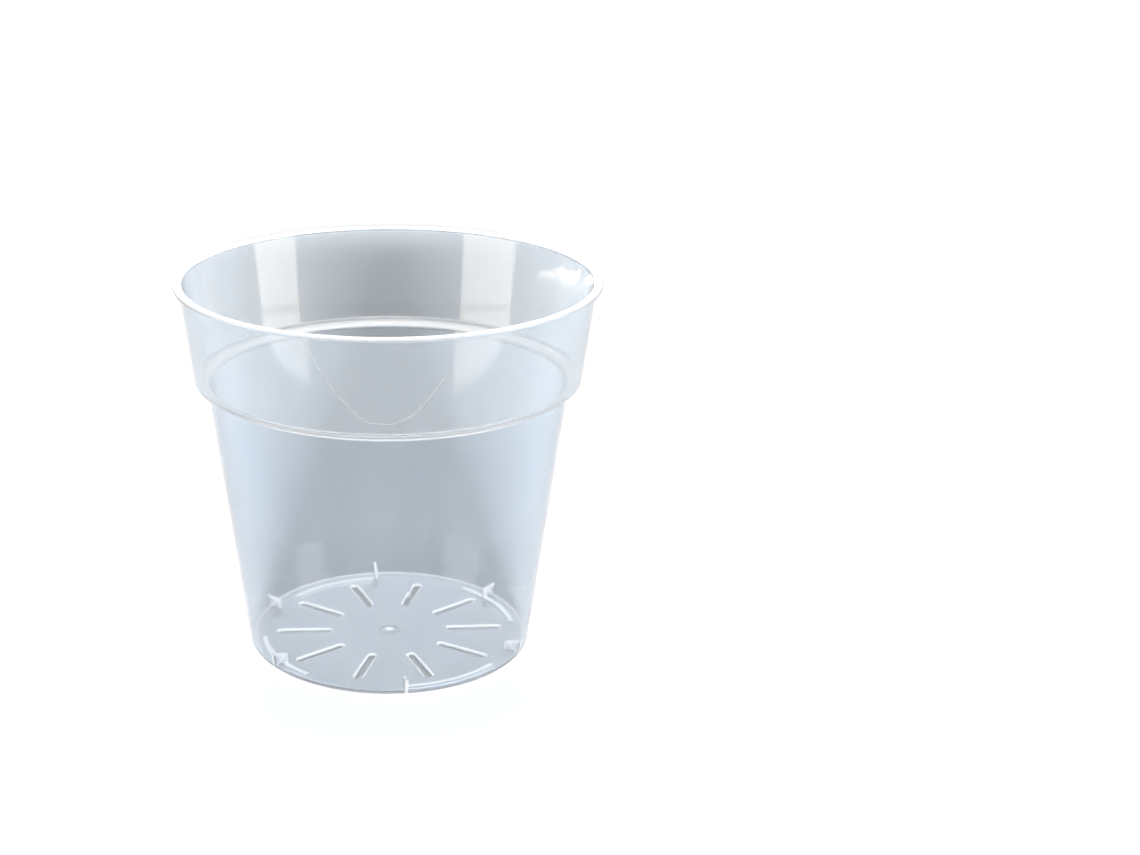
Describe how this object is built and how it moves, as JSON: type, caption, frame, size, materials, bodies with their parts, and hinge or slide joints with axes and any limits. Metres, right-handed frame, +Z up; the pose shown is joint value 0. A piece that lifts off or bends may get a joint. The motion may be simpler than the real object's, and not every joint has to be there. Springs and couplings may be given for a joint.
{
  "type": "orchid pot with slots",
  "caption": "Clear one-piece orchid pot: tapered body, stepped collar, flat lip, and a floor with radial drainage slots, inner corner gussets and low arc feet.",
  "frame": {"origin": "on the pot's axis, in the plane that the arc feet stand on", "axes": "+Z up along the axis, towards the mouth; +X through the middle of one drainage slot"},
  "size_m": [0.2, 0.2, 0.183],
  "materials": {
    "clear_plastic": "clear, faintly blue moulded polypropylene with a smooth glossy surface"
  },
  "bodies": {
    "root": {"pot": "clear_plastic"}
  },
  "joints": []
}
